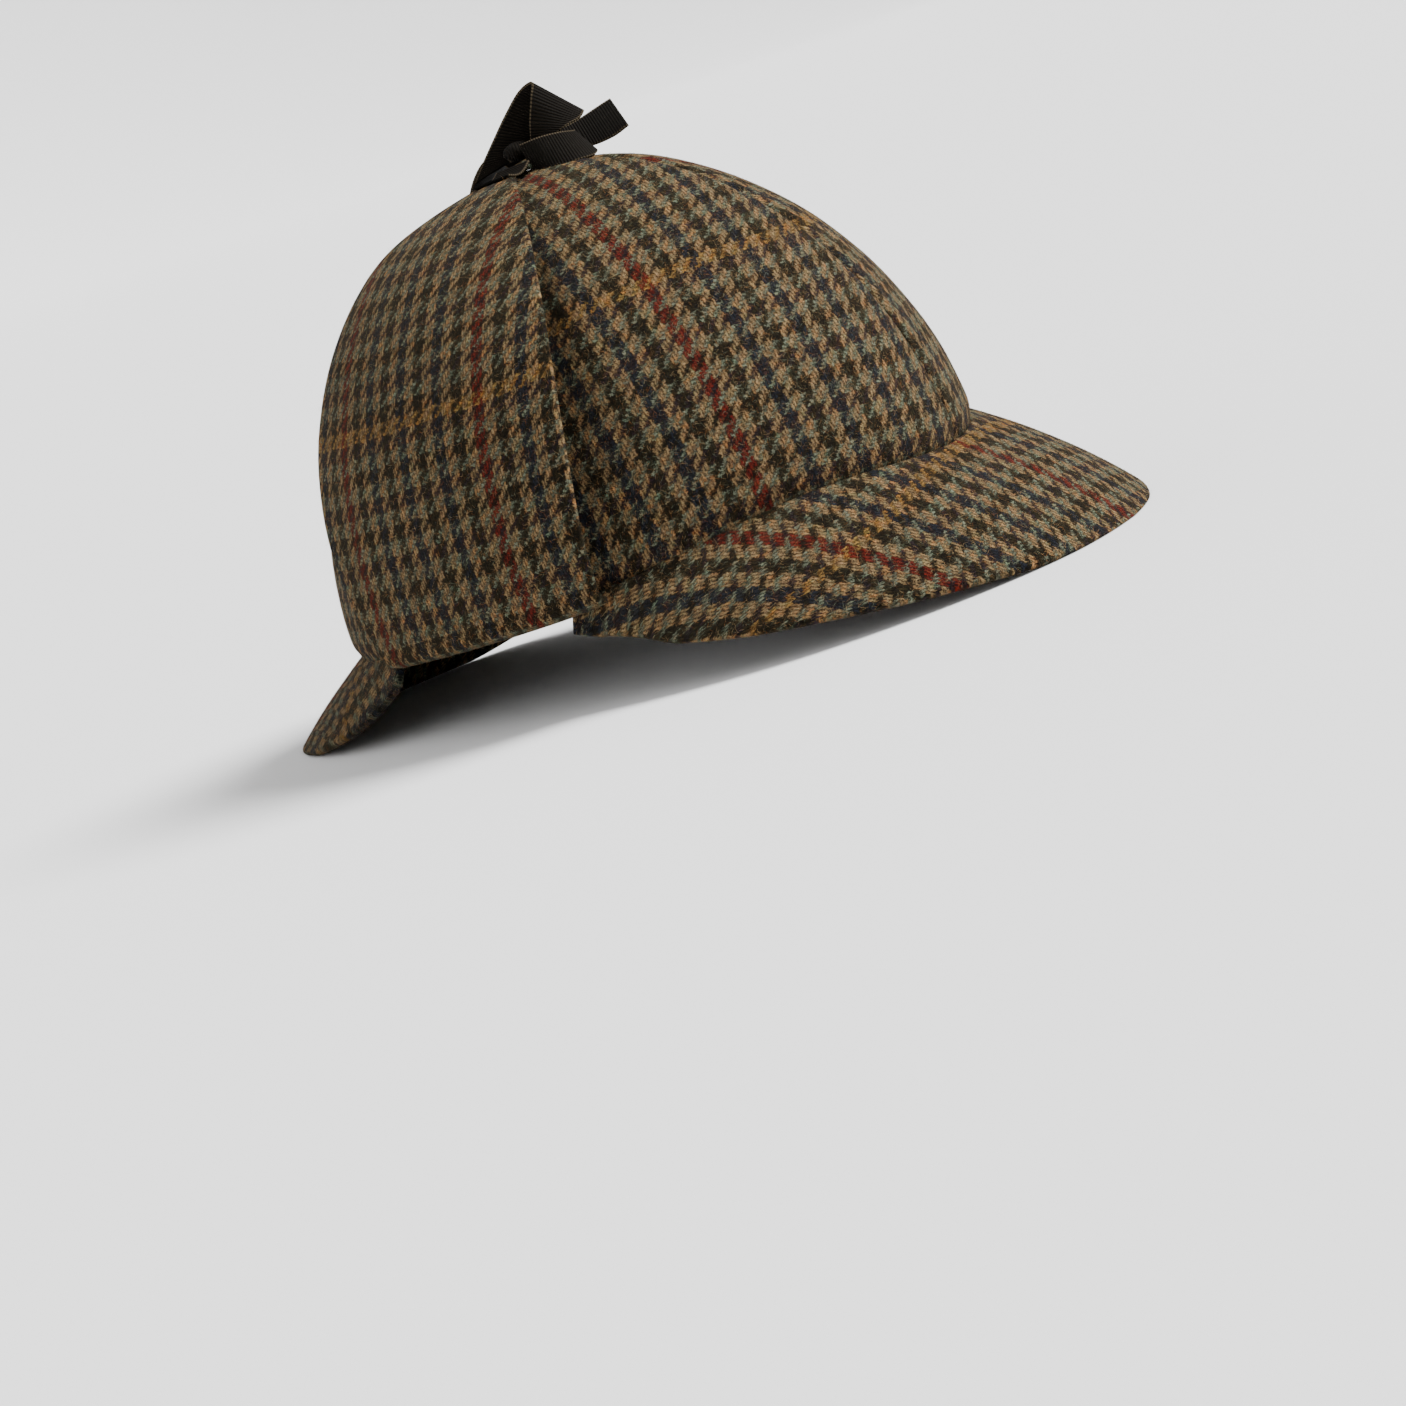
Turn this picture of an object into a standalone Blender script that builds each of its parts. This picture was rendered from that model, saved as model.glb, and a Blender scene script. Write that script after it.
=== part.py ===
"""Tweed deerstalker hat: four crown gores, two peaks, two folded ear flaps, a covered
button and a ribbon bow. Metres, +Z up, the front towards -Y, the wearer's left towards +X.
"""
import math

import bmesh
import bpy
from mathutils import Matrix, Vector

for old_object in list(bpy.data.objects):
    bpy.data.objects.remove(old_object, do_unlink=True)

# Head opening, measured level from the line through the button
rim_front = 0.0965
rim_back = 0.1085
rim_side = 0.0855
rim_wave = 0.0055

# Crown
crown_height = 0.116
crown_wall = 0.0020
crown_fall = 1.06
crown_squareness = 0.07
crown_tip_radius = 0.0016

# Front peak
front_peak_length = 0.0540
front_peak_span = math.radians(88)
front_peak_wall = 0.0030

# Back peak
back_peak_length = 0.0370
back_peak_span = math.radians(52)
back_peak_wall = 0.0030

# Ear flaps, folded up against the crown. Their rolled foot takes the first share of their
# length, starts that far inside the rim as a share of flap_roll, and settles by that rise
flap_wall = 0.0026
flap_roll = 0.0042
flap_stand = 0.0050
flap_tuck = 0.0044
flap_rolled_share = 0.16
flap_roll_inset = 1.25
flap_settle = 0.10

# Covered button on top
button_radius = 0.0075
button_height = 0.0030
button_skirt = 0.12

# Ribbon and its bow. The ties' widths and their rise in the middle are shares of ribbon_width
ribbon_width = 0.0170
ribbon_wall = 0.0009
knot_length = 0.0076
knot_depth = 0.0070
knot_rise = 0.0054
knot_pinch = 0.10
bow_lift = 0.0012
tie_wide_start = 0.36
tie_wide_end = 0.22
tie_bow = 0.10

# Fits
seam_gap = 0.0003
edge_rounding = 0.0009
contact_press = 0.0009

# The bow lies along a line that runs 28 degrees off the front
bow_turn = math.radians(28)

# How the front peak changes from its middle (share 0) to its end (share 1):
# reach is a share of front_peak_length, the slopes are degrees below level at the
# crown and at the free edge, lean turns its direction away from the crown's own, and
# tuck is the share of the flap's roll that it lies below.
front_peak_sections = [
    {"share": 0.00, "reach": 1.00, "slope_in": 31, "slope_out": 52, "lean": 0, "tuck": 0},
    {"share": 0.20, "reach": 0.97, "slope_in": 32, "slope_out": 54, "lean": -2, "tuck": 0},
    {"share": 0.42, "reach": 0.83, "slope_in": 36, "slope_out": 58, "lean": -4, "tuck": 0},
    {"share": 0.62, "reach": 0.63, "slope_in": 42, "slope_out": 61, "lean": -4, "tuck": 0},
    {"share": 0.80, "reach": 0.39, "slope_in": 54, "slope_out": 67, "lean": 1, "tuck": 0},
    {"share": 0.86, "reach": 0.27, "slope_in": 60, "slope_out": 70, "lean": 4, "tuck": 0},
    {"share": 0.905, "reach": 0.20, "slope_in": 66, "slope_out": 73, "lean": 9, "tuck": 1},
    {"share": 0.955, "reach": 0.15, "slope_in": 70, "slope_out": 76, "lean": 14, "tuck": 1},
    {"share": 1.00, "reach": 0.10, "slope_in": 74, "slope_out": 80, "lean": 20, "tuck": 1},
]

# The back peak in the same columns
back_peak_sections = [
    {"share": 0.00, "reach": 1.00, "slope_in": 26, "slope_out": 38, "lean": 0, "tuck": 0},
    {"share": 0.25, "reach": 0.95, "slope_in": 28, "slope_out": 42, "lean": -1, "tuck": 0},
    {"share": 0.50, "reach": 0.80, "slope_in": 34, "slope_out": 48, "lean": -2, "tuck": 0},
    {"share": 0.75, "reach": 0.55, "slope_in": 44, "slope_out": 56, "lean": -2, "tuck": 0},
    {"share": 0.90, "reach": 0.32, "slope_in": 56, "slope_out": 66, "lean": 0, "tuck": 0},
    {"share": 1.00, "reach": 0.14, "slope_in": 66, "slope_out": 74, "lean": 3, "tuck": 0},
]

# Outline of a flap on the crown. rise is the share of the quarter turn from the rim to
# the button, front and rear are degrees round from the middle of the front, and stand_f
# and stand_r are how far its edges stand off the crown, as shares of flap_stand.
flap_sections = [
    {"rise": 0.00, "front": 79.5, "rear": 126, "stand_f": 0.62, "stand_r": 0.62},
    {"rise": 0.08, "front": 78.5, "rear": 129, "stand_f": 0.70, "stand_r": 0.70},
    {"rise": 0.18, "front": 76.8, "rear": 133, "stand_f": 0.70, "stand_r": 0.85},
    {"rise": 0.38, "front": 74.0, "rear": 142, "stand_f": 0.60, "stand_r": 1.00},
    {"rise": 0.52, "front": 73.2, "rear": 149, "stand_f": 0.34, "stand_r": 1.10},
    {"rise": 0.66, "front": 74.0, "rear": 153, "stand_f": 0.08, "stand_r": 1.10},
    {"rise": 0.78, "front": 76.5, "rear": 146, "stand_f": 0.05, "stand_r": 0.50},
    {"rise": 0.86, "front": 81.0, "rear": 126, "stand_f": 0.05, "stand_r": 0.10},
]

# The ribbon pieces. Each row is one station: ahead, near and up place the middle of the
# ribbon, and wide_a, wide_n and wide_u run from there to its edge. All are shares of
# ribbon_width, in the bow's own axes.
ribbon_stations = {
    "ribbon_loop_tall": [
        {"ahead": -0.68, "near": -0.30, "up": 0.13, "wide_a": 0.35, "wide_n": 0.02, "wide_u": 0.07},
        {"ahead": -0.36, "near": -0.35, "up": 0.28, "wide_a": 0.41, "wide_n": 0.02, "wide_u": -0.06},
        {"ahead": -0.05, "near": -0.37, "up": 0.43, "wide_a": 0.43, "wide_n": 0.02, "wide_u": -0.19},
        {"ahead": 0.29, "near": -0.34, "up": 0.66, "wide_a": 0.38, "wide_n": 0.02, "wide_u": -0.32},
        {"ahead": 0.61, "near": -0.25, "up": 0.89, "wide_a": 0.34, "wide_n": 0.00, "wide_u": -0.37},
        {"ahead": 0.86, "near": -0.06, "up": 0.93, "wide_a": 0.33, "wide_n": 0.00, "wide_u": -0.39},
        {"ahead": 0.76, "near": 0.10, "up": 0.77, "wide_a": 0.33, "wide_n": 0.04, "wide_u": -0.32},
        {"ahead": 0.54, "near": 0.16, "up": 0.56, "wide_a": 0.28, "wide_n": 0.09, "wide_u": -0.15},
        {"ahead": 0.32, "near": 0.15, "up": 0.35, "wide_a": 0.17, "wide_n": 0.10, "wide_u": -0.03},
    ],
    "ribbon_loop_low": [
        {"ahead": 0.07, "near": 0.23, "up": 0.27, "wide_a": 0.02, "wide_n": 0.05, "wide_u": -0.11},
        {"ahead": 0.36, "near": 0.47, "up": 0.17, "wide_a": 0.03, "wide_n": 0.12, "wide_u": -0.18},
        {"ahead": 0.72, "near": 0.52, "up": 0.07, "wide_a": 0.06, "wide_n": 0.16, "wide_u": -0.18},
        {"ahead": 0.96, "near": 0.34, "up": 0.02, "wide_a": 0.12, "wide_n": 0.12, "wide_u": -0.14},
        {"ahead": 1.00, "near": 0.10, "up": 0.07, "wide_a": 0.14, "wide_n": 0.04, "wide_u": -0.14},
        {"ahead": 0.80, "near": -0.09, "up": 0.17, "wide_a": 0.08, "wide_n": -0.02, "wide_u": -0.14},
        {"ahead": 0.52, "near": -0.13, "up": 0.21, "wide_a": 0.04, "wide_n": -0.03, "wide_u": -0.10},
        {"ahead": 0.27, "near": -0.14, "up": 0.24, "wide_a": 0.02, "wide_n": -0.03, "wide_u": -0.08},
    ],
    "ribbon_end_front": [
        {"ahead": 0.20, "near": -0.48, "up": 0.36, "wide_a": 0.02, "wide_n": 0.04, "wide_u": -0.09},
        {"ahead": 0.44, "near": -0.53, "up": 0.29, "wide_a": 0.02, "wide_n": 0.07, "wide_u": -0.15},
        {"ahead": 0.76, "near": -0.56, "up": 0.20, "wide_a": 0.03, "wide_n": 0.16, "wide_u": -0.20},
        {"ahead": 1.10, "near": -0.52, "up": 0.18, "wide_a": 0.04, "wide_n": 0.27, "wide_u": -0.25},
        {"ahead": 1.46, "near": -0.40, "up": 0.22, "wide_a": 0.05, "wide_n": 0.36, "wide_u": -0.28},
        {"ahead": 1.77, "near": -0.30, "up": 0.29, "wide_a": 0.05, "wide_n": 0.41, "wide_u": -0.27},
    ],
    "ribbon_end_back": [
        {"ahead": -0.16, "near": -0.58, "up": 0.34, "wide_a": -0.10, "wide_n": 0.02, "wide_u": 0.05},
        {"ahead": -0.26, "near": -0.82, "up": 0.37, "wide_a": -0.20, "wide_n": 0.06, "wide_u": 0.07},
        {"ahead": -0.44, "near": -1.16, "up": 0.34, "wide_a": -0.34, "wide_n": 0.16, "wide_u": 0.04},
        {"ahead": -0.66, "near": -1.54, "up": 0.22, "wide_a": -0.38, "wide_n": 0.26, "wide_u": -0.04},
        {"ahead": -0.86, "near": -1.96, "up": 0.00, "wide_a": -0.40, "wide_n": 0.26, "wide_u": -0.12},
    ],
}

# Where the knot lies and where the two ties reach it, in the same shares
knot_place = {"ahead": -0.14, "near": 0.04, "up": 0.32}
tie_ends = {
    "right": {"ahead": -0.30, "near": 0.36, "up": 0.29},
    "left": {"ahead": -0.14, "near": -0.62, "up": 0.20},
}

hat = bpy.data.collections.new("deerstalker_hat")
bpy.context.scene.collection.children.link(hat)


def principled(name, colour, roughness):
    """One material with the piece's plain colour."""
    material = bpy.data.materials.new(name)
    material.use_nodes = True
    shader = material.node_tree.nodes["Principled BSDF"]
    shader.inputs["Base Color"].default_value = (*colour, 1.0)
    shader.inputs["Roughness"].default_value = roughness
    shader.inputs["Metallic"].default_value = 0.0
    return material


def blend_rows(rows, key, at):
    """Every column of a table at one value of its key column, on a smooth curve."""
    keys = [row[key] for row in rows]
    at = min(max(at, keys[0]), keys[-1])
    low = max(index for index in range(len(keys) - 1) if keys[index] <= at)
    span = keys[low + 1] - keys[low]
    part = (at - keys[low]) / span

    def slope(index, column):
        before = max(index - 1, 0)
        after = min(index + 1, len(keys) - 1)
        return (rows[after][column] - rows[before][column]) / (keys[after] - keys[before])

    blended = {}
    for column in rows[0]:
        start = rows[low][column]
        end = rows[low + 1][column]
        bend_start = slope(low, column) * span
        bend_end = slope(low + 1, column) * span
        blended[column] = (start * (1 + 2 * part) * (1 - part) ** 2
                           + bend_start * part * (1 - part) ** 2
                           + end * part ** 2 * (3 - 2 * part)
                           + bend_end * part ** 2 * (part - 1))
    return blended


def crown_surface(around, rise):
    """A point on the outside of the crown, before the hat is set on its rest."""
    turn = rise * math.pi / 2
    run = math.cos(turn) ** crown_fall
    lift = math.sin(turn)
    square = 1 - crown_squareness * math.sin(2 * around) ** 2 * lift ** 2
    reach = rim_front if math.cos(around) > 0 else rim_back
    wave = rim_wave * math.sin(2 * around) ** 2 if math.cos(around) > 0 else 0.0
    return Vector((rim_side * math.sin(around) * run * square,
                   -reach * math.cos(around) * run * square,
                   crown_height * lift + wave * (1 - lift)))


def crown_normal(around, rise):
    """The direction that points straight out of the crown there."""
    step = 0.004
    rise = min(max(rise, step), 1 - 2 * step)
    along = crown_surface(around + step, rise) - crown_surface(around - step, rise)
    up = crown_surface(around, rise + step) - crown_surface(around, rise - step)
    return along.cross(up).normalized()


def sheet(name, across, along, place, wall, material, offset=-1.0, rounded=0.0):
    """A grid put in place by a function, given its wall, and its free edges rounded."""
    mesh = bpy.data.meshes.new(name)
    shape = bmesh.new()
    bmesh.ops.create_grid(shape, x_segments=across, y_segments=along, size=1.0)
    for vertex in shape.verts:
        vertex.co = place((vertex.co.x + 1) / 2, (vertex.co.y + 1) / 2)
    shape.to_mesh(mesh)
    shape.free()
    piece = bpy.data.objects.new(name, mesh)
    hat.objects.link(piece)
    thick = piece.modifiers.new("wall", "SOLIDIFY")
    thick.thickness = wall
    thick.offset = offset
    thick.use_even_offset = False
    if rounded:
        soft = piece.modifiers.new("rounded edge", "BEVEL")
        soft.width = rounded
        soft.segments = 2
        soft.limit_method = "ANGLE"
        soft.angle_limit = math.radians(55)
    return freeze(piece, material)


def freeze(piece, material):
    """The piece's modifiers become its mesh, which takes its material and smooth shading."""
    view = bpy.context.evaluated_depsgraph_get()
    view.update()
    mesh = bpy.data.meshes.new_from_object(piece.evaluated_get(view))
    piece.modifiers.clear()
    old_mesh = piece.data
    piece.data = mesh
    bpy.data.meshes.remove(old_mesh)
    mesh.name = piece.name
    mesh.materials.clear()
    mesh.materials.append(material)
    mesh.shade_smooth()
    mesh.set_sharp_from_angle(angle=math.radians(50))
    return piece


def keep_beside(piece, aside, ahead):
    """Hold a gore's cut edges on its own side of the seam planes that cross at the button."""
    for vertex in piece.data.vertices:
        if vertex.co.x * aside < seam_gap / 2:
            vertex.co.x = aside * seam_gap / 2
        if vertex.co.y * ahead < seam_gap / 2:
            vertex.co.y = ahead * seam_gap / 2


def crown_panel(name, aside, ahead, material):
    """One of the four gores, from the rim to the button."""
    tip = 1 - crown_tip_radius / rim_side

    def place(share_round, share_up):
        turn = share_round * math.pi / 2
        around = aside * (turn if ahead < 0 else math.pi - turn)
        return crown_surface(around, share_up * tip)

    inward = aside * ahead > 0
    panel = sheet(name, 11, 13, place, crown_wall, material, offset=1.0 if inward else -1.0)
    keep_beside(panel, aside, ahead)
    return panel


def peak_point(middle, span, length, rows, share_round, share_out, wall):
    """The middle of a peak's wall: it starts under the rim and curves down as it goes out."""
    side = 2 * share_round - 1
    row = blend_rows(rows, "share", abs(side))
    around = middle + side * span
    steps = 6
    start = crown_surface(around, 0.0)
    tilt_in = math.radians(row["slope_in"])
    tilt_out = math.radians(row["slope_out"])
    outward = crown_normal(around, 0.02)
    heading = math.atan2(outward.y, outward.x) + math.copysign(math.radians(row["lean"]), side)
    level = Vector((math.cos(heading), math.sin(heading), 0.0))
    point = start - outward * crown_wall / 2
    point.z = start.z - seam_gap - wall / 2 * math.cos(tilt_in) - row["tuck"] * flap_tuck
    reach = row["reach"] * length * share_out
    for step in range(steps):
        tilt = tilt_in + (tilt_out - tilt_in) * share_out * (step + 0.5) / steps
        point += (level * math.cos(tilt) + Vector((0, 0, -math.sin(tilt)))) * reach / steps
    return point


def front_peak_place(share_round, share_out):
    return peak_point(0.0, front_peak_span, front_peak_length, front_peak_sections,
                      share_round, share_out, front_peak_wall)


def back_peak_place(share_round, share_out):
    return peak_point(math.pi, back_peak_span, back_peak_length, back_peak_sections,
                      share_round, share_out, back_peak_wall)


def flap_point(aside, share_round, share_up):
    """The middle of a flap's wall: a roll under the rim, then up the side of the crown."""
    last = flap_sections[-1]
    if share_up < flap_rolled_share:
        row = flap_sections[0]
        turn = share_up / flap_rolled_share * math.pi / 2
        stand = flap_roll * (1 - flap_roll_inset * math.cos(turn))
        drop = -(seam_gap + flap_wall * 0.6) - flap_roll * 0.10 * math.sin(2 * turn)
        drop *= max(math.cos(turn), 0.0) ** 0.5
        rise = 0.0
    else:
        rise = (share_up - flap_rolled_share) / (1 - flap_rolled_share) * last["rise"]
        row = blend_rows(flap_sections, "rise", rise)
        edge = row["stand_f"] + (row["stand_r"] - row["stand_f"]) * share_round
        stand = flap_wall / 2 + seam_gap + edge * flap_stand
        settle = min(rise / flap_settle, 1.0)
        stand = flap_roll * (1 - settle) + stand * settle
        drop = 0.0
    around = math.radians(row["front"] + (row["rear"] - row["front"]) * share_round)
    point = crown_surface(aside * around, rise)
    point += crown_normal(aside * around, rise) * stand
    point.z += drop
    return point


def bow_vector(ahead, near, up):
    """A direction of the bow, given as shares of the ribbon's width, in the hat's own axes."""
    forward = Vector((math.sin(bow_turn), -math.cos(bow_turn), 0.0))
    towards = Vector((-math.cos(bow_turn), -math.sin(bow_turn), 0.0))
    return (forward * ahead + towards * near + Vector((0, 0, up))) * ribbon_width


def bow_point(ahead, near, up):
    """A point of the bow, measured from the foot of the button."""
    return Vector((0, 0, crown_height + bow_lift)) + bow_vector(ahead, near, up)


def ribbon_piece(name, rows, across, along, material):
    """A flat ribbon through its stations, with a wall of one ribbon's thickness."""
    numbered = [dict(row, station=index) for index, row in enumerate(rows)]

    def place(share_wide, share_long):
        row = blend_rows(numbered, "station", share_long * (len(rows) - 1))
        middle = bow_point(row["ahead"], row["near"], row["up"])
        edge = bow_vector(row["wide_a"], row["wide_n"], row["wide_u"])
        return middle + edge * (2 * share_wide - 1)

    return sheet(name, across, along, place, ribbon_wall, material, offset=0.0)


def ribbon_tie(name, aside, material):
    """The ribbon that runs from the tip of a flap up to the knot, close along the crown."""
    tip = flap_sections[-1]
    middle = math.radians((tip["front"] + tip["rear"]) / 2)
    start = crown_surface(aside * middle, tip["rise"])
    start_out = crown_normal(aside * middle, tip["rise"])
    start += start_out * (flap_wall + 2 * seam_gap + ribbon_wall)
    end = bow_point(**tie_ends["right" if aside < 0 else "left"])

    def place(share_wide, share_long):
        point = start.lerp(end, share_long)
        point.z += ribbon_width * tie_bow * math.sin(math.pi * share_long)
        wide = tie_wide_start + (tie_wide_end - tie_wide_start) * share_long
        return point + Vector((0, 1, 0)) * ribbon_width * wide * (2 * share_wide - 1)

    return sheet(name, 4, 8, place, ribbon_wall, material, offset=0.0)


def top_button(material):
    """The small covered button that closes the four gores."""
    mesh = bpy.data.meshes.new("top_button")
    shape = bmesh.new()
    bmesh.ops.create_uvsphere(shape, u_segments=20, v_segments=10, radius=button_radius)
    for vertex in shape.verts:
        height = vertex.co.z / button_radius
        vertex.co.z = button_height * max(height, -button_skirt)
    bmesh.ops.remove_doubles(shape, verts=shape.verts, dist=0.00002)
    lowest = min(vertex.co.z for vertex in shape.verts)
    for vertex in shape.verts:
        vertex.co.z += crown_height + seam_gap - lowest
    shape.to_mesh(mesh)
    shape.free()
    button = bpy.data.objects.new("top_button", mesh)
    hat.objects.link(button)
    return freeze(button, material)


def ribbon_knot(material):
    """The knot: a short fat band with its sides pulled in."""
    mesh = bpy.data.meshes.new("ribbon_knot")
    shape = bmesh.new()
    bmesh.ops.create_uvsphere(shape, u_segments=16, v_segments=10, radius=1.0)
    middle = bow_point(**knot_place)
    turned = Matrix.Rotation(bow_turn - math.pi / 2, 3, "Z")
    for vertex in shape.verts:
        bulge = 1 + knot_pinch * math.cos(4 * math.atan2(vertex.co.y, vertex.co.x))
        vertex.co = middle + turned @ Vector((vertex.co.x * knot_length / 2 * bulge,
                                              vertex.co.y * knot_depth / 2 * bulge,
                                              vertex.co.z * knot_rise / 2))
    shape.to_mesh(mesh)
    shape.free()
    knot = bpy.data.objects.new("ribbon_knot", mesh)
    hat.objects.link(knot)
    return freeze(knot, material)


def rest_pose():
    """The turn and lift that set the hat down on the free edges of its two peaks."""
    turn = Matrix.Identity(4)
    for _ in range(4):
        front = min((turn @ front_peak_place(step / 80, 1.0) for step in range(81)),
                    key=lambda point: point.z)
        back = min((turn @ back_peak_place(step / 80, 1.0) for step in range(81)),
                   key=lambda point: point.z)
        tilt = math.atan2(back.z - front.z, back.y - front.y)
        turn = Matrix.Rotation(-tilt, 4, "X") @ turn
    return turn


tweed = principled("tweed", (0.16, 0.13, 0.075), 0.95)
grosgrain = principled("grosgrain ribbon", (0.022, 0.018, 0.014), 0.7)

for side_name, aside in (("right", -1), ("left", 1)):
    crown_panel("crown_panel_front_" + side_name, aside, -1, tweed)
    crown_panel("crown_panel_back_" + side_name, aside, 1, tweed)
    sheet("ear_flap_" + side_name, 12, 20,
          lambda share_round, share_up: flap_point(aside, share_round, share_up),
          flap_wall, tweed, offset=0.0, rounded=edge_rounding)
    ribbon_tie("ribbon_tie_" + side_name, aside, grosgrain)

front_peak = sheet("front_peak", 36, 6, front_peak_place, front_peak_wall, tweed,
                   offset=0.0, rounded=edge_rounding)
back_peak = sheet("back_peak", 20, 6, back_peak_place, back_peak_wall, tweed,
                  offset=0.0, rounded=edge_rounding)
top_button(tweed)
ribbon_knot(grosgrain)
for ribbon_name, stations in ribbon_stations.items():
    ribbon_piece(ribbon_name, stations, 4, 4 * (len(stations) - 1), grosgrain)

# Set the hat down with the origin below its middle: both peaks touch the surface and are
# pressed flat where they do
pose = rest_pose()
for piece in hat.objects:
    piece.data.transform(pose)
lowest = min(vertex.co.z for piece in (front_peak, back_peak) for vertex in piece.data.vertices)
foremost = min(vertex.co.y for vertex in front_peak.data.vertices)
rearmost = max(vertex.co.y for vertex in back_peak.data.vertices)
for piece in hat.objects:
    piece.data.transform(Matrix.Translation((0, -(foremost + rearmost) / 2, -lowest - contact_press)))
for piece in (front_peak, back_peak):
    for vertex in piece.data.vertices:
        vertex.co.z = max(vertex.co.z, 0.0)
for piece in hat.objects:
    piece.data.update()
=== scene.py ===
"""The looks of a tweed deerstalker hat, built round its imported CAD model.

Metres, +Z up, the hat's front towards -Y and the wearer's left towards +X. The file goes
through the hat as it is sewn: gores, flaps, peaks, button, ribbon, then the studio.
"""
import math

import bpy
import numpy as np
from mathutils import Matrix, Vector, noise


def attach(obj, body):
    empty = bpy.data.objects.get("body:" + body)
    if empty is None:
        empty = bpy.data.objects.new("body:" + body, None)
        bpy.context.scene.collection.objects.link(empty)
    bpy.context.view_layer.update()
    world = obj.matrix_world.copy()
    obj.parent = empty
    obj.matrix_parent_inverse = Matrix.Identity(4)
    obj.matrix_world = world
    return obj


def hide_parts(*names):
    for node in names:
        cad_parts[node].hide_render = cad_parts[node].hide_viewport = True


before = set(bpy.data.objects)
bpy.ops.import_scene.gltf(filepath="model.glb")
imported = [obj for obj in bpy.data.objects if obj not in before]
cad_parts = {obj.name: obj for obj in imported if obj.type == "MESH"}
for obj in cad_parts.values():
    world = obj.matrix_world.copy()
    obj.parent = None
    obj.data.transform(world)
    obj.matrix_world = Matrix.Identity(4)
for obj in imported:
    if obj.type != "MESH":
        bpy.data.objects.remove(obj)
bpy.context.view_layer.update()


# The crown: four gores of the same wool tweed, cut with the warp running up their middles,
# sewn to each other with the allowances pressed open inside, and closed under the button.
# The hat stands on its two peaks, which tips it back by the small turn below.
rim_front = 0.0965
rim_back = 0.1085
rim_side = 0.0855
rim_wave = 0.0055
crown_height = 0.116
crown_wall = 0.0020
crown_fall = 1.06
crown_squareness = 0.07
crown_tip_radius = 0.0016
seam_gap = 0.0003
rest = Matrix.Translation((0, 0.000156, 0.029214)) @ Matrix.Rotation(math.radians(-3.2792), 4, "X")


def crown_surface(around, rise):
    """A point on the outside of the crown: around from the front, rise from rim to button."""
    turn = rise * math.pi / 2
    run = math.cos(turn) ** crown_fall
    lift = math.sin(turn)
    square = 1 - crown_squareness * math.sin(2 * around) ** 2 * lift ** 2
    reach = rim_front if math.cos(around) > 0 else rim_back
    wave = rim_wave * math.sin(2 * around) ** 2 if math.cos(around) > 0 else 0.0
    return Vector((rim_side * math.sin(around) * run * square,
                   -reach * math.cos(around) * run * square,
                   crown_height * lift + wave * (1 - lift)))


def crown_normal(around, rise):
    """The direction that points straight out of the crown there, from four near places."""
    step = 0.004
    rise = min(max(rise, step), 1 - 2 * step)
    along = crown_surface(around + step, rise) - crown_surface(around - step, rise)
    up = crown_surface(around, rise + step) - crown_surface(around, rise - step)
    return along.cross(up).normalized()


def uneven(point, height):
    """The slight rise and fall of steamed cloth: slow waves, with small ones on them."""
    waves_per_metre = 22
    ripples_per_metre = 61
    ripple_share = 0.4
    waves = noise.noise(point * waves_per_metre)
    return height * (waves + ripple_share * noise.noise(point * ripples_per_metre))


def cloth_grid(name, across, along, place):
    """A flat grid of that many quads, laid in place by a function of its two shares."""
    bpy.ops.object.select_all(action="DESELECT")
    bpy.ops.mesh.primitive_grid_add(x_subdivisions=across, y_subdivisions=along, size=2)
    piece = bpy.context.active_object
    piece.name = name
    piece.data.name = name
    for vertex in piece.data.vertices:
        point = place((vertex.co.x + 1) / 2, (vertex.co.y + 1) / 2)
        vertex.co = rest @ point
    return piece


def measured_cut(across, along, middle, place):
    """The cut in metres: u along each weft thread from a warp, v up that warp.

    middle gives the share round at which the warp lies for each share up.
    """
    rounds = np.linspace(0, 1, across + 1)
    ups = np.linspace(0, 1, along + 1)
    points = np.array([[place(a, b) for b in ups] for a in rounds])
    weft = np.zeros((across + 1, along + 1))
    weft[1:] = np.cumsum(np.linalg.norm(np.diff(points, axis=0), axis=2), axis=0)
    weft -= np.array([np.interp(middle(b), rounds, weft[:, j]) for j, b in enumerate(ups)])
    spine = np.array([place(middle(b), b) for b in ups])
    warp = np.zeros(along + 1)
    warp[1:] = np.cumsum(np.linalg.norm(np.diff(spine, axis=0), axis=1))
    return weft, warp


def mark_cloth(piece, across, along, cut):
    """Writes the cut into the grid's UV map, so that one unit of it is one metre of cloth."""
    mesh = piece.data
    layer = mesh.uv_layers.active
    for face in mesh.polygons:
        for corner in face.loop_indices:
            share = layer.data[corner].uv
            layer.data[corner].uv = cut(round(share.x * across), round(share.y * along))


def crowded(share):
    """A share moved towards the nearer end, so that rows lie close where an edge is folded."""
    crowding = 0.9
    return share - crowding * math.sin(2 * math.pi * share) / (2 * math.pi)


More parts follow.
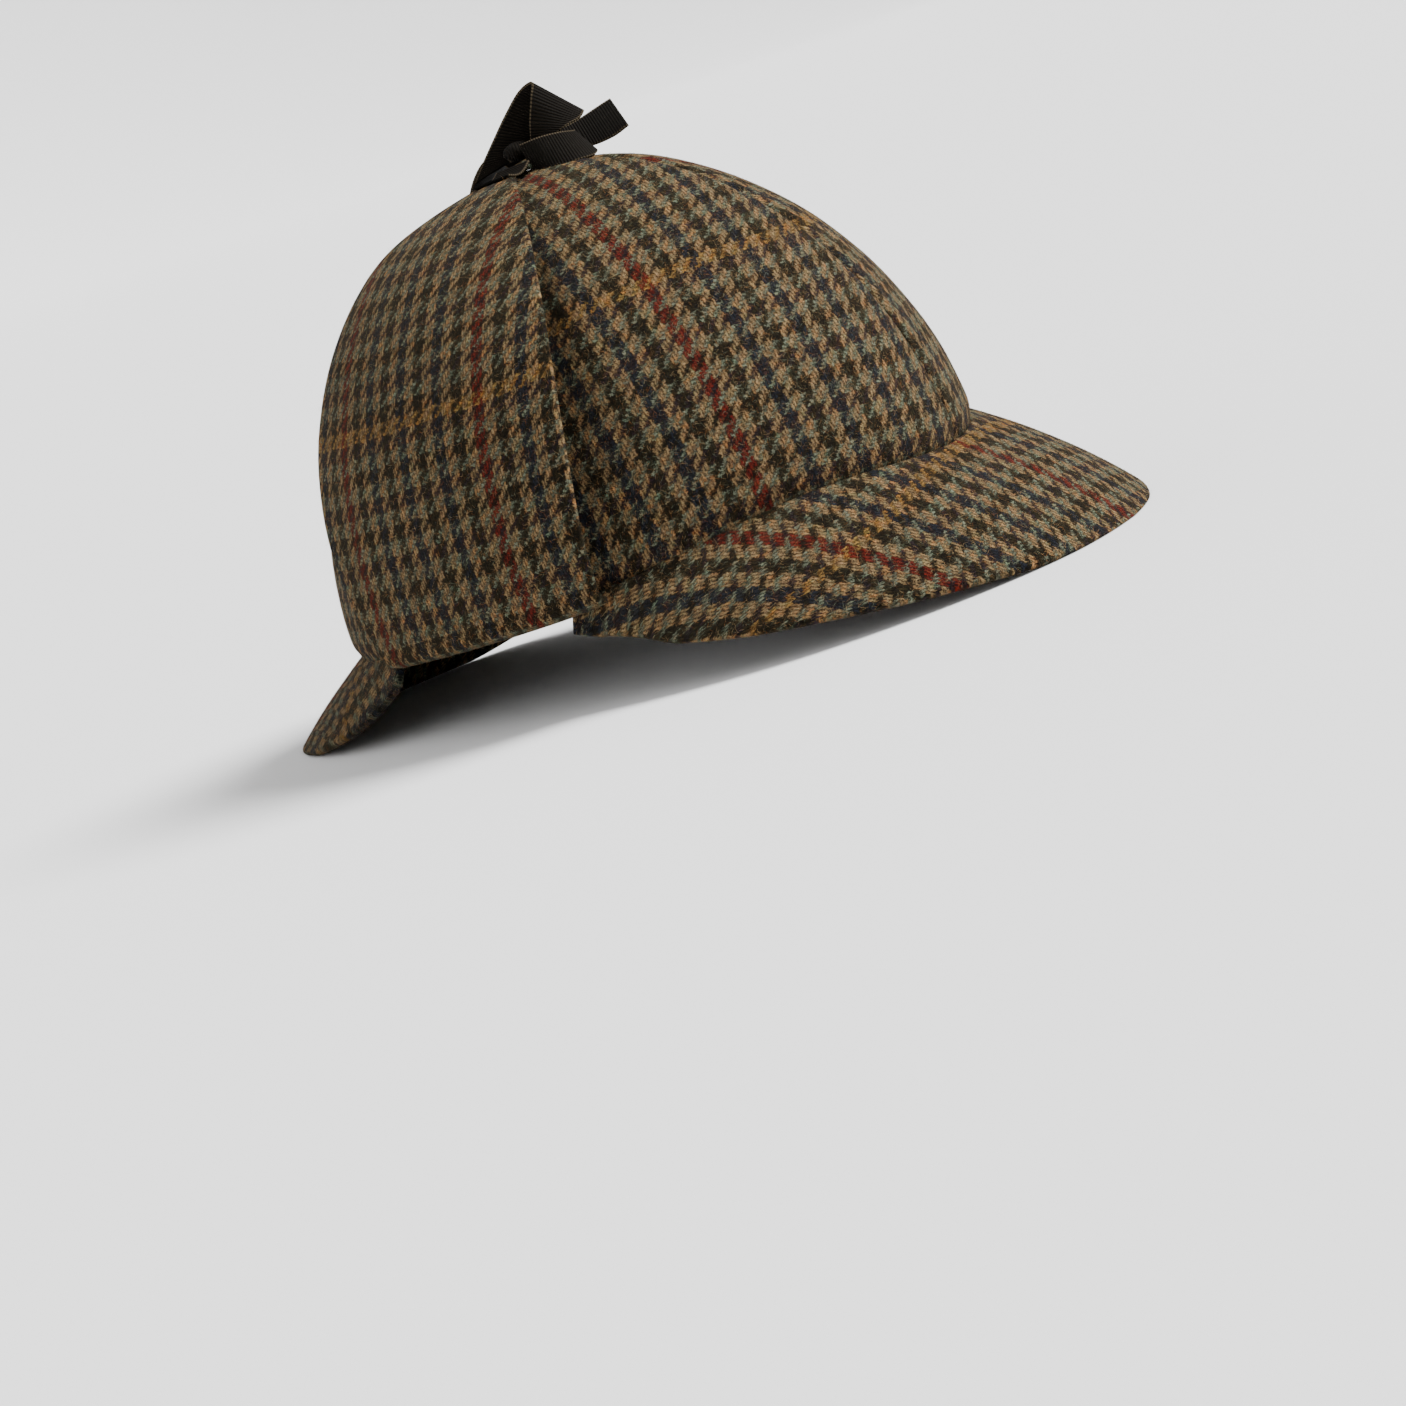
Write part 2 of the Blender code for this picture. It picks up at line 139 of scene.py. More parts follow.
def give_wall(piece, wall, material, from_edge=None):
    """The cloth's thickness on both sides of the grid.

    from_edge lists how far each vertex lies from the folded edge, which is rounded over.
    """
    wall_left_at_fold = 0.10
    bpy.ops.object.select_all(action="DESELECT")
    piece.select_set(True)
    bpy.context.view_layer.objects.active = piece
    thick = piece.modifiers.new("wall", "SOLIDIFY")
    thick.thickness = wall
    thick.offset = 0.0
    thick.use_even_offset = False
    if from_edge is not None:
        fold = piece.vertex_groups.new(name="fold")
        for index, distance in enumerate(from_edge):
            inset = 1 - min(distance / (wall / 2), 1.0)
            fold.add([index], math.sqrt(1 - inset ** 2), "REPLACE")
        thick.vertex_group = fold.name
        thick.thickness_vertex_group = wall_left_at_fold
    bpy.ops.object.modifier_apply(modifier=thick.name)
    piece.vertex_groups.clear()
    bpy.ops.object.mode_set(mode="EDIT")
    bpy.ops.mesh.select_all(action="SELECT")
    bpy.ops.mesh.normals_make_consistent(inside=False)
    bpy.ops.object.mode_set(mode="OBJECT")
    bpy.ops.object.shade_smooth()
    piece.data.materials.clear()
    piece.data.materials.append(material)


def linear(colour):
    """An sRGB hex colour as the linear RGBA that a shader takes."""
    parts = [int(colour[k:k + 2], 16) / 255 for k in (1, 3, 5)]
    return [p / 12.92 if p <= 0.04045 else ((p + 0.055) / 1.055) ** 2.4 for p in parts] + [1.0]


def add_node(tree, kind, inputs=(), **settings):
    """One node with its settings and its inputs, each a socket or a value. Gives its outputs."""
    made = tree.nodes.new(kind)
    for name, value in settings.items():
        setattr(made, name, value)
    for name, value in dict(inputs).items():
        if isinstance(value, bpy.types.NodeSocket):
            tree.links.new(value, made.inputs[name])
        else:
            made.inputs[name].default_value = value
    return made.outputs


# The tweed: woollen yarns in two-by-two twill, four light and four dark threads each way, so
# the checks grow the points of a houndstooth. The eye sees sand and sage twill lines, navy,
# olive and plum checks, a few red warp stripes and a gold weft stripe under a woollen bloom.
warp_pitch = 0.00102
weft_pitch = 0.001055
tweed = bpy.data.materials.new("wool tweed")
tweed.use_nodes = True
tree = tweed.node_tree
cloth = add_node(tree, "ShaderNodeUVMap", uv_map="UVMap")[0]

# No thread lies quite straight: how many bends there are to a metre, and how wide they are.
# Every noise is measured along the cloth too, so a Scale of 1000 has its grains 1 mm apart
thread_bends = [
    {"per_metre": 60.0, "wide": 0.0014},
    {"per_metre": 620.0, "wide": 0.0015},
    {"per_metre": 2300.0, "wide": 0.0021},
]
strayed = cloth
for row in thread_bends:
    stray = add_node(tree, "ShaderNodeTexNoise",
                     {"Vector": cloth, "Scale": row["per_metre"], "Detail": 2.0})
    stray = add_node(tree, "ShaderNodeVectorMath", {0: stray["Color"], 1: (0.5, 0.5, 0.5)},
                     operation="SUBTRACT")[0]
    stray = add_node(tree, "ShaderNodeVectorMath", {0: stray, "Scale": row["wide"]}, operation="SCALE")[0]
    strayed = add_node(tree, "ShaderNodeVectorMath", {0: strayed, 1: stray}, operation="ADD")[0]
split = add_node(tree, "ShaderNodeSeparateXYZ", {0: strayed})
ends = add_node(tree, "ShaderNodeMath", {0: split[0], 1: warp_pitch}, operation="DIVIDE")[0]
picks = add_node(tree, "ShaderNodeMath", {0: split[1], 1: weft_pitch}, operation="DIVIDE")[0]
end = add_node(tree, "ShaderNodeMath", {0: ends}, operation="FLOOR")[0]
pick = add_node(tree, "ShaderNodeMath", {0: picks}, operation="FLOOR")[0]

# Which thread lies on top, and where along its float. A float passes over two threads, and
# the warp, which is the tighter yarn, shows half a thread more of its length than the weft
twill_repeat = 4.0
warp_shows = 2.5
weft_shows = 1.5
passed = add_node(tree, "ShaderNodeMath", {0: picks, 1: end}, operation="SUBTRACT")[0]
warp_float = add_node(tree, "ShaderNodeMath", {0: passed, 1: twill_repeat}, operation="FLOORED_MODULO")[0]
weft_float = add_node(tree, "ShaderNodeMath", {0: warp_float, 1: warp_shows}, operation="SUBTRACT")[0]
warp_up = add_node(tree, "ShaderNodeMath", {0: warp_float, 1: warp_shows}, operation="LESS_THAN")[0]

# A float is round: highest in the middle of its length and of its width. This height gives the bump, and
# also the painted shade on each thread
float_ends_height = 0.4
barrel_power = 1.6
float_heights = []
for along, length, across in ((warp_float, warp_shows, ends), (weft_float, weft_shows, picks)):
    arch = add_node(tree, "ShaderNodeMath", {0: along, 1: math.pi / length}, operation="MULTIPLY")[0]
    arch = add_node(tree, "ShaderNodeMath", {0: arch}, operation="SINE")[0]
    arch = add_node(tree, "ShaderNodeMath", {0: arch, 1: 0.0}, operation="MAXIMUM")[0]
    arch = add_node(tree, "ShaderNodeMath", {0: arch, 1: 1 - float_ends_height, 2: float_ends_height},
                    operation="MULTIPLY_ADD")[0]
    barrel = add_node(tree, "ShaderNodeMath", {0: across}, operation="FRACT")[0]
    barrel = add_node(tree, "ShaderNodeMath", {0: barrel, 1: math.pi}, operation="MULTIPLY")[0]
    barrel = add_node(tree, "ShaderNodeMath", {0: barrel}, operation="SINE")[0]
    barrel = add_node(tree, "ShaderNodeMath", {0: barrel, 1: barrel_power}, operation="POWER")[0]
    height = add_node(tree, "ShaderNodeMath", {0: arch, 1: barrel}, operation="MULTIPLY")[0]
    float_heights.append(height)
thread_height = add_node(tree, "ShaderNodeMix", {0: warp_up, 2: float_heights[1], 3: float_heights[0]},
                         data_type="FLOAT")[0]

# The order of the dyed threads: light and dark by fours, the dark ones by turns navy and
# olive in the warp, olive black and plum in the weft. The order comes round every eight
# threads, and the stripes are counted in such rounds
round_threads = 8.0
last_light_thread = 3.5
red_repeat = 20.0
second_red = 8.0
gold_repeat = 16.0
alike = 0.2
sand = linear("#8F7653")
sage = linear("#6C725F")
navy = linear("#1D222C")
olive = linear("#282213")
black = linear("#1B170E")
plum = linear("#2B2126")
red = linear("#651D15")
gold = linear("#93703C")
orders = {}
for name, thread in (("warp", end), ("weft", pick)):
    place = add_node(tree, "ShaderNodeMath", {0: thread, 1: round_threads}, operation="FLOORED_MODULO")[0]
    dark = add_node(tree, "ShaderNodeMath", {0: place, 1: last_light_thread}, operation="GREATER_THAN")[0]
    stripe = add_node(tree, "ShaderNodeMath", {0: thread, 1: round_threads}, operation="DIVIDE")[0]
    stripe = add_node(tree, "ShaderNodeMath", {0: stripe}, operation="FLOOR")[0]
    turn = add_node(tree, "ShaderNodeMath", {0: stripe, 1: 2.0}, operation="FLOORED_MODULO")[0]
    orders[name] = {"dark": dark, "stripe": stripe, "turn": turn}
red_place = add_node(tree, "ShaderNodeMath", {0: orders["warp"]["stripe"], 1: red_repeat},
                     operation="FLOORED_MODULO")[0]
first_here = add_node(tree, "ShaderNodeMath", {0: red_place, 1: 0.0, 2: alike}, operation="COMPARE")[0]
second_here = add_node(tree, "ShaderNodeMath", {0: red_place, 1: second_red, 2: alike},
                       operation="COMPARE")[0]
red_here = add_node(tree, "ShaderNodeMath", {0: first_here, 1: second_here}, operation="ADD")[0]
gold_place = add_node(tree, "ShaderNodeMath", {0: orders["weft"]["stripe"], 1: gold_repeat},
                      operation="FLOORED_MODULO")[0]
gold_here = add_node(tree, "ShaderNodeMath", {0: gold_place, 1: 0.0, 2: alike}, operation="COMPARE")[0]

# A colour Mix takes its share at input 0 and its two colours at 6 and 7, and gives output 2
dark_warp = add_node(tree, "ShaderNodeMix", {0: orders["warp"]["turn"], 6: navy, 7: olive},
                     data_type="RGBA")[2]
dark_warp = add_node(tree, "ShaderNodeMix", {0: red_here, 6: dark_warp, 7: red}, data_type="RGBA")[2]
dark_weft = add_node(tree, "ShaderNodeMix", {0: orders["weft"]["turn"], 6: black, 7: plum},
                     data_type="RGBA")[2]
light_weft = add_node(tree, "ShaderNodeMix", {0: gold_here, 6: sage, 7: gold}, data_type="RGBA")[2]
warp_colour = add_node(tree, "ShaderNodeMix", {0: orders["warp"]["dark"], 6: sand, 7: dark_warp},
                       data_type="RGBA")[2]
weft_colour = add_node(tree, "ShaderNodeMix", {0: orders["weft"]["dark"], 6: light_weft, 7: dark_weft},
                       data_type="RGBA")[2]
colour = add_node(tree, "ShaderNodeMix", {0: warp_up, 6: weft_colour, 7: warp_colour}, data_type="RGBA")[2]

# Fibres teased out of both threads lie across each other and soften the checks, and others
# of a grey green wool lie here and there on both
nap = add_node(tree, "ShaderNodeTexNoise",
               {"Vector": cloth, "Scale": 1500.0, "Detail": 4.0, "Roughness": 0.75})[0]
nap = add_node(tree, "ShaderNodeMapRange",
               {"Value": nap, "From Min": 0.45, "From Max": 0.80, "To Max": 0.60})[0]
both = add_node(tree, "ShaderNodeMix", {0: 0.5, 6: warp_colour, 7: weft_colour}, data_type="RGBA")[2]
colour = add_node(tree, "ShaderNodeMix", {0: nap, 6: colour, 7: both}, data_type="RGBA")[2]
fleck = add_node(tree, "ShaderNodeTexNoise",
                 {"Vector": strayed, "Scale": 900.0, "Detail": 3.0, "Roughness": 0.8})[0]
fleck = add_node(tree, "ShaderNodeMapRange",
                 {"Value": fleck, "From Min": 0.56, "From Max": 0.75, "To Max": 0.45})[0]
fleck_colour = linear("#5E5A48")
colour = add_node(tree, "ShaderNodeMix", {0: fleck, 6: colour, 7: fleck_colour}, data_type="RGBA")[2]

# Every yarn is spun from mixed wool: an orange, a green and a plum dye tint it along its
# length. A dye multiplies the yarn's colour, and is divided by a plain grey to keep its depth
yarn_dyes = [
    {"channel": 0, "dye": "#8E5F30", "most": 0.55},
    {"channel": 1, "dye": "#4E6A62", "most": 0.50},
    {"channel": 2, "dye": "#4A2E3C", "most": 0.45},
]
dye_grey = (0.10, 0.10, 0.10)
mixed = add_node(tree, "ShaderNodeTexNoise",
                 {"Vector": strayed, "Scale": 330.0, "Detail": 3.0, "Roughness": 0.7})["Color"]
mixed = add_node(tree, "ShaderNodeSeparateXYZ", {0: mixed})
for row in yarn_dyes:
    share = add_node(tree, "ShaderNodeMapRange",
                     {"Value": mixed[row["channel"]], "From Min": 0.52, "From Max": 0.78,
                      "To Max": row["most"]})[0]
    dyed = add_node(tree, "ShaderNodeVectorMath", {0: linear(row["dye"])[:3], 1: dye_grey},
                    operation="DIVIDE")[0]
    dyed = add_node(tree, "ShaderNodeVectorMath", {0: colour, 1: dyed}, operation="MULTIPLY")[0]
    colour = add_node(tree, "ShaderNodeMix", {0: share, 6: colour, 7: dyed}, data_type="RGBA")[2]

# The shade changes from yarn to yarn, along each yarn and from fibre to fibre, and painted
# shade makes it lowest in the hollows between the threads and at the ends of each float
yarn = add_node(tree, "ShaderNodeMath", {0: end, 1: 3.7, 2: pick}, operation="MULTIPLY_ADD")[0]
yarn = add_node(tree, "ShaderNodeTexWhiteNoise", {"W": yarn}, noise_dimensions="1D")[0]
yarn = add_node(tree, "ShaderNodeMath", {0: yarn, 1: 0.36, 2: 0.32}, operation="MULTIPLY_ADD")[0]
wool = add_node(tree, "ShaderNodeTexNoise",
                {"Vector": cloth, "Scale": 2600.0, "Detail": 3.0, "Roughness": 0.7})[0]
fibres = add_node(tree, "ShaderNodeMath", {0: wool, 1: 1.7, 2: -0.78}, operation="MULTIPLY_ADD")[0]
drift = add_node(tree, "ShaderNodeTexNoise", {"Vector": cloth, "Scale": 300.0, "Detail": 2.0})[0]
drift = add_node(tree, "ShaderNodeMath", {0: drift, 1: 0.5, 2: -0.15}, operation="MULTIPLY_ADD")[0]
# Painted shade: each float's colour is lighter on its round top and darker down its sides and ends, as
# light falls on a round yarn
painted_hollow_shade = add_node(tree, "ShaderNodeMath", {0: thread_height, 1: 1.05, 2: 0.10}, operation="MULTIPLY_ADD")[0]
painted_hollow_shade = add_node(tree, "ShaderNodeMath", {0: painted_hollow_shade, 1: 0.93}, operation="MULTIPLY")[0]
shade = add_node(tree, "ShaderNodeMath", {0: yarn, 1: fibres}, operation="ADD")[0]
shade = add_node(tree, "ShaderNodeMath", {0: shade, 1: drift}, operation="ADD")[0]
shade = add_node(tree, "ShaderNodeMath", {0: shade, 1: painted_hollow_shade}, operation="MULTIPLY")[0]
colour = add_node(tree, "ShaderNodeVectorMath", {0: colour, "Scale": shade}, operation="SCALE")[0]
relief = add_node(tree, "ShaderNodeMath", {0: wool, 1: 0.5, 2: thread_height}, operation="MULTIPLY_ADD")[0]
bump = add_node(tree, "ShaderNodeBump", {"Height": relief, "Strength": 0.8, "Distance": 0.0003})[0]
shader = tree.nodes["Principled BSDF"]
tree.links.new(colour, shader.inputs["Base Color"])
tree.links.new(bump, shader.inputs["Normal"])
shader.inputs["Roughness"].default_value = 0.95
shader.inputs["Specular IOR Level"].default_value = 0.05
shader.inputs["Sheen Weight"].default_value = 0.05
shader.inputs["Sheen Roughness"].default_value = 0.5
shader.inputs["Sheen Tint"].default_value = linear("#C9B896")

# The nap: single fibres stand out of a woollen cloth and blur its outline. They are laid by
# numpy as narrow strips of two quads, since there are far too many to place by hand. They are
# drawn a little thicker than real wool, which would be too fine to show
nap_length = (0.0007, 0.0021)
nap_width = 0.00005
nap_lift = 0.00045
nap_least_lift = 0.1
nap_bend = 0.3
nap_scatter = 0.0004
nap_shades = (0.6, 1.3)
nap_sections = [
    {"share": 0.0, "rise": -0.2, "width": 1.0},
    {"share": 0.5, "rise": 0.9, "width": 0.8},
    {"share": 1.0, "rise": 0.7, "width": 0.2},
]
nap_corners = [0, 1, 3, 2, 2, 3, 5, 4]
hat_heart = (0, 0, 0.05)
nap_dyes = ["#8C7350", "#8C7350", "#676D5A", "#3A3020", "#20242C", "#7A4E2A"]
teased = bpy.data.materials.new("teased wool fibres")
teased.use_nodes = True
tree = teased.node_tree
dye = add_node(tree, "ShaderNodeAttribute", attribute_name="dye")["Color"]
shader = tree.nodes["Principled BSDF"]
tree.links.new(dye, shader.inputs["Base Color"])
shader.inputs["Roughness"].default_value = 0.9
shader.inputs["Specular IOR Level"].default_value = 0.05


def tease(piece, count, seed):
    """The fibres that stand out of one piece of the tweed, over the side that is seen."""
    chance = np.random.default_rng(seed)
    faces = len(piece.data.polygons)
    centres = np.zeros(faces * 3)
    normals = np.zeros(faces * 3)
    areas = np.zeros(faces)
    piece.data.polygons.foreach_get("center", centres)
    piece.data.polygons.foreach_get("normal", normals)
    piece.data.polygons.foreach_get("area", areas)
    centres = centres.reshape(-1, 3)
    normals = normals.reshape(-1, 3)
    seen = ((centres - hat_heart) * normals).sum(axis=1) > 0
    chosen = chance.choice(faces, count, p=areas * seen / (areas * seen).sum())
    out = normals[chosen]
    lie = np.cross(out, chance.normal(size=(count, 3)))
    lie /= np.linalg.norm(lie, axis=1)[:, None]
    aside = np.cross(out, lie)
    reach = chance.uniform(*nap_length, count)[:, None]
    lift = chance.uniform(nap_least_lift, 1.0, count)[:, None] ** 2 * nap_lift
    bend = chance.normal(0, nap_bend, count)[:, None] * reach
    root = centres[chosen] + chance.normal(0, nap_scatter, (count, 3))
    root -= out * ((root - centres[chosen]) * out).sum(axis=1)[:, None]
    strips = []
    for row in nap_sections:
        middle = root + lie * reach * row["share"] + out * lift * row["rise"]
        middle += aside * bend * row["share"] ** 2
        half_width = aside * nap_width * row["width"] / 2
        strips += [middle - half_width, middle + half_width]
    mesh = bpy.data.meshes.new("wool_nap_" + piece.name)
    mesh.vertices.add(count * len(strips))
    placed = np.stack(strips, axis=1)
    placed[:, :, 2] = np.maximum(placed[:, :, 2], 0.0)
    mesh.vertices.foreach_set("co", placed.ravel())
    corners = np.array(nap_corners) + np.arange(count)[:, None] * len(strips)
    mesh.loops.add(corners.size)
    mesh.loops.foreach_set("vertex_index", corners.ravel())
    mesh.polygons.add(corners.size // 4)
    mesh.polygons.foreach_set("loop_start", np.arange(0, corners.size, 4))
    mesh.update(calc_edges=True)
    dyes = np.array([linear(colour) for colour in nap_dyes])
    dyes = dyes[chance.integers(0, len(nap_dyes), count)]
    dyes[:, :3] *= chance.uniform(*nap_shades, count)[:, None]
    layer = mesh.color_attributes.new("dye", "FLOAT_COLOR", "POINT")
    layer.data.foreach_set("color", np.repeat(dyes, len(strips), axis=0).ravel())
    mesh.materials.append(teased)
    nap = bpy.data.objects.new("wool_nap_" + piece.name, mesh)
    bpy.context.collection.objects.link(nap)
    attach(nap, "root")


# Each gore is let in where it meets the next one and where it meets a peak, and is drawn in
# ahead of the flap, whose folded front edge stands over it. The angles of this tuck are in
# degrees round from the front, and its top and fade are shares of the rise to the button
gore_across = 90
gore_along = 104
gore_span = 90
gore_warp_length = 0.15
gore_unevenness = 0.0004
gore_nap = 17000
seam_depth = 0.0009
seam_reach = 0.0016
rim_roll = 0.0014
rim_roll_reach = 0.0022
flap_tuck = 0.0036
flap_tuck_around = 76.5
flap_tuck_reach = 6.0
flap_tuck_end = 10.0
flap_tuck_top = 0.74
flap_tuck_fade = 0.30
gore_weft_shift = 0.0622
gore_cuts = {
    "front_right": {"aside": -1, "ahead": -1, "warp_shift": 0.0784, "seed": 0},
    "front_left": {"aside": 1, "ahead": -1, "warp_shift": 0.0300, "seed": 1},
    "back_right": {"aside": -1, "ahead": 1, "warp_shift": 0.1000, "seed": 2},
    "back_left": {"aside": 1, "ahead": 1, "warp_shift": 0.0610, "seed": 3},
}
tip = 1 - crown_tip_radius / rim_side
for gore_name, row in gore_cuts.items():

    def gore_turn(share_round):
        turn = share_round * math.pi / 2
        return row["aside"] * (turn if row["ahead"] < 0 else math.pi - turn)

    def gore_flat(share_round, share_up):
        return crown_surface(gore_turn(share_round), share_up * tip)

    def gore_place(share_round, share_up):
        around = gore_turn(share_round)
        rise = share_up * tip
        point = crown_surface(around, rise)
        outward = crown_normal(around, rise)
        from_seam = min(abs(point.x), abs(point.y))
        sink = seam_depth * math.exp(-(from_seam / seam_reach) ** 2)
        sink += rim_roll * math.exp(-(share_up * gore_warp_length / rim_roll_reach) ** 2)
        if row["ahead"] < 0:
            ahead_of_flap = flap_tuck_around - share_round * gore_span
            drawn = math.exp(-(ahead_of_flap / flap_tuck_reach) ** 2)
            if ahead_of_flap <= 0:
                drawn = min(1.0, (1 - share_round) * gore_span / flap_tuck_end)
            sink += flap_tuck * drawn * min(max((flap_tuck_top - rise) / flap_tuck_fade, 0.0), 1.0)
        point += outward * (uneven(point, gore_unevenness) - sink - crown_wall / 2)
        if point.x * row["aside"] < seam_gap / 2:
            point.x = row["aside"] * seam_gap / 2
        if point.y * row["ahead"] < seam_gap / 2:
            point.y = row["ahead"] * seam_gap / 2
        return point

    weft_length, warp_length = measured_cut(gore_across, gore_along, lambda share_up: 0.5, gore_flat)
    rightwards = -1 if row["aside"] * row["ahead"] > 0 else 1

    def gore_cut(i, j):
        return (row["warp_shift"] + rightwards * weft_length[i][j], gore_weft_shift + warp_length[j])

    gore = cloth_grid("tweed_gore_" + gore_name, gore_across, gore_along, gore_place)
    mark_cloth(gore, gore_across, gore_along, gore_cut)
    give_wall(gore, crown_wall, tweed)
    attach(gore, "root")
    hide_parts("crown_panel_" + gore_name)
    tease(gore, gore_nap, row["seed"])


# The ear flaps: each a bag of two layers of the tweed, turned out and pressed, folded up
# from a soft roll under the rim and held against the crown by its tie.
flap_wall = 0.0026
flap_roll = 0.0042
flap_roll_share = 0.16
flap_roll_in = 1.25
flap_roll_sag = 0.10
flap_roll_settles = 0.10
flap_under_rim = 0.6
flap_stand = 0.0050
flap_sections = [
    {"rise": 0.00, "front": 80.6, "rear": 126, "stand_f": 0.62, "stand_r": 0.62},
    {"rise": 0.08, "front": 79.7, "rear": 129, "stand_f": 0.70, "stand_r": 0.70},
    {"rise": 0.18, "front": 78.0, "rear": 133, "stand_f": 0.70, "stand_r": 0.85},
    {"rise": 0.38, "front": 75.0, "rear": 142, "stand_f": 0.60, "stand_r": 1.00},
    {"rise": 0.52, "front": 73.8, "rear": 149, "stand_f": 0.34, "stand_r": 1.10},
    {"rise": 0.66, "front": 74.0, "rear": 153, "stand_f": 0.08, "stand_r": 1.10},
    {"rise": 0.78, "front": 76.5, "rear": 146, "stand_f": 0.05, "stand_r": 0.50},
    {"rise": 0.86, "front": 81.0, "rear": 126, "stand_f": 0.05, "stand_r": 0.10},
]


def blend_rows(rows, key, at):
    """Every column of a table at one value of its key column, on a smooth curve."""
    keys = [row[key] for row in rows]
    at = min(max(at, keys[0]), keys[-1])
    low = max(index for index in range(len(keys) - 1) if keys[index] <= at)
    span = keys[low + 1] - keys[low]
    part = (at - keys[low]) / span

    def slope(index, column):
        before = max(index - 1, 0)
        after = min(index + 1, len(keys) - 1)
        return (rows[after][column] - rows[before][column]) / (keys[after] - keys[before])

    blended = {}
    for column in rows[0]:
        start = rows[low][column]
        finish = rows[low + 1][column]
        bend_start = slope(low, column) * span
        bend_finish = slope(low + 1, column) * span
        blended[column] = (start * (1 + 2 * part) * (1 - part) ** 2
                           + bend_start * part * (1 - part) ** 2
                           + finish * part ** 2 * (3 - 2 * part)
                           + bend_finish * part ** 2 * (part - 1))
    return blended


def flap_rise(share_up):
    """How far up the crown a share of the flap lies. Its first share is the roll at the rim."""
    return max(share_up - flap_roll_share, 0.0) / (1 - flap_roll_share) * flap_sections[-1]["rise"]


def flap_point(aside, share_round, share_up):
    """The middle of a flap's wall: a roll under the rim, then up the side of the crown."""
    if share_up < flap_roll_share:
        row = flap_sections[0]
        turn = share_up / flap_roll_share * math.pi / 2
        stand = flap_roll * (1.0 - flap_roll_in * math.cos(turn))
        drop = -(seam_gap + flap_wall * flap_under_rim) - flap_roll * flap_roll_sag * math.sin(2 * turn)
        drop *= math.sqrt(max(math.cos(turn), 0.0))
        rise = 0.0
    else:
        rise = flap_rise(share_up)
        row = blend_rows(flap_sections, "rise", rise)
        edge = row["stand_f"] + (row["stand_r"] - row["stand_f"]) * share_round
        stand = flap_wall / 2 + seam_gap + edge * flap_stand
        settle = min(rise / flap_roll_settles, 1.0)
        stand = flap_roll * (1 - settle) + stand * settle
        drop = 0.0
    around = math.radians(row["front"] + (row["rear"] - row["front"]) * share_round)
    point = crown_surface(aside * around, rise)
    point += crown_normal(aside * around, rise) * stand
    point.z += drop
    return point


flap_across = 72
flap_along = 110
flap_unevenness = 0.0004
flap_nap = 14000
flap_warp_around = 100
flap_warp_shift = 0.0546
flap_weft_shift = 0.0665
flap_ease = 1.14
sampled_shares = np.linspace(0, 1, 200)
crowded_shares = [crowded(share) for share in sampled_shares]
for side_name, aside, seed in (("right", -1, 4), ("left", 1, 6)):

    def flap_flat(share_round, share_up):
        return flap_point(aside, crowded(share_round), crowded(share_up))

    def flap_place(share_round, share_up):
        point = flap_flat(share_round, share_up)
        return point + point.normalized() * uneven(point, flap_unevenness)

    def flap_middle(share_up):
        row = blend_rows(flap_sections, "rise", flap_rise(crowded(share_up)))
        share_round = (flap_warp_around - row["front"]) / (row["rear"] - row["front"])
        return np.interp(share_round, crowded_shares, sampled_shares)

    weft_length, warp_length = measured_cut(flap_across, flap_along, flap_middle, flap_flat)

    def flap_cut(i, j):
        across = flap_warp_shift + aside * flap_ease * weft_length[i][j]
        return (across, flap_weft_shift + warp_length[j])

    flap = cloth_grid("tweed_flap_" + side_name, flap_across, flap_along, flap_place)
    mark_cloth(flap, flap_across, flap_along, flap_cut)
    from_sides = np.minimum(weft_length - weft_length[0], weft_length[-1] - weft_length)
    from_ends = np.minimum(warp_length, warp_length[-1] - warp_length)
    give_wall(flap, flap_wall, tweed, np.minimum(from_sides, from_ends).T.ravel())
    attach(flap, "root")
    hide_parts("ear_flap_" + side_name)
    tease(flap, flap_nap, seed)


# The peaks: a stiff board between an upper and an under layer of the tweed, the edges
# turned in, sewn into the crown's seam at the front and the back and bent down to the sides.
peak_rows = {
    "front_peak": [
        {"share": 0.00, "reach": 1.00, "slope_in": 31, "slope_out": 52, "lean": 0},
        {"share": 0.20, "reach": 0.97, "slope_in": 32, "slope_out": 54, "lean": -2},
        {"share": 0.42, "reach": 0.83, "slope_in": 36, "slope_out": 58, "lean": -4},
        {"share": 0.62, "reach": 0.63, "slope_in": 42, "slope_out": 61, "lean": -4},
        {"share": 0.80, "reach": 0.39, "slope_in": 54, "slope_out": 67, "lean": 1},
        {"share": 0.86, "reach": 0.27, "slope_in": 60, "slope_out": 70, "lean": 4},
        {"share": 0.905, "reach": 0.20, "slope_in": 66, "slope_out": 73, "lean": 9},
        {"share": 0.955, "reach": 0.15, "slope_in": 70, "slope_out": 76, "lean": 14},
        {"share": 1.00, "reach": 0.10, "slope_in": 74, "slope_out": 80, "lean": 20},
    ],
    "back_peak": [
        {"share": 0.00, "reach": 1.00, "slope_in": 26, "slope_out": 38, "lean": 0},
        {"share": 0.25, "reach": 0.95, "slope_in": 28, "slope_out": 42, "lean": -1},
        {"share": 0.50, "reach": 0.80, "slope_in": 34, "slope_out": 48, "lean": -2},
        {"share": 0.75, "reach": 0.55, "slope_in": 44, "slope_out": 56, "lean": -2},
        {"share": 0.90, "reach": 0.32, "slope_in": 56, "slope_out": 66, "lean": 0},
        {"share": 1.00, "reach": 0.14, "slope_in": 66, "slope_out": 74, "lean": 3},
    ],
}
